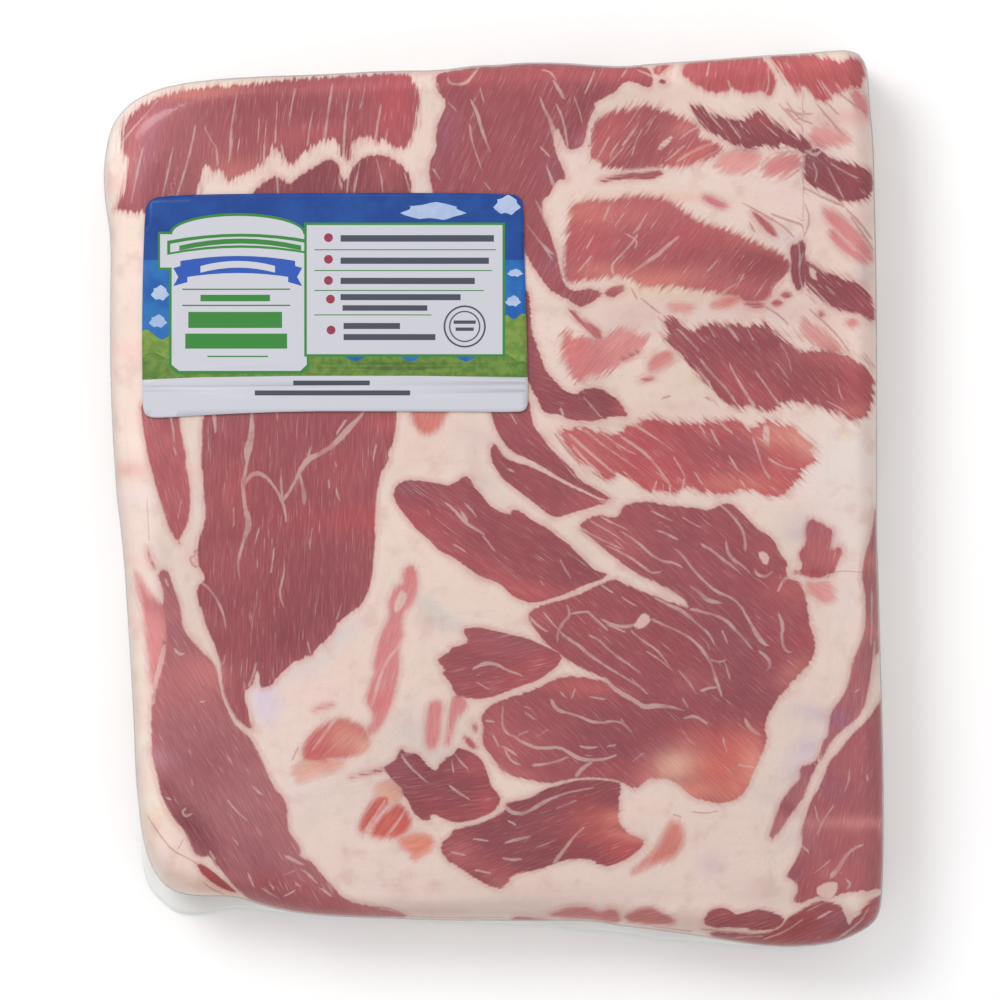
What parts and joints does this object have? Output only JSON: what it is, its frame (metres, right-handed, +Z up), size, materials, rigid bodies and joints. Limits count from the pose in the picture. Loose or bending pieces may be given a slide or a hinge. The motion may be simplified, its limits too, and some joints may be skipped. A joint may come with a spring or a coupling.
{
  "type": "vacuum-packed pork belly slab",
  "caption": "Boneless pork belly slab, meat side up, sealed in close-fitting clear film with a low skirt of spare film at its foot and a printed label on top; lies flat",
  "frame": {"origin": "centre of the pack's footprint box, on the surface it lies on", "axes": "+Z up, out of the meat side; +Y along the longer side of the slab; +X across it, the fat-covered rounded side being at -X"},
  "size_m": [0.2706, 0.3134, 0.0386],
  "materials": {
    "packed_meat": "raw pork, lean and fat, under tight clear glossy film",
    "clear_film": "clear shrink film, thin, glossy, faintly grey-green where it lies double",
    "label_print": "printed sticker, semi-gloss"
  },
  "bodies": {
    "root": {"sealed_pack": "packed_meat", "label": "label_print"}
  },
  "joints": []
}
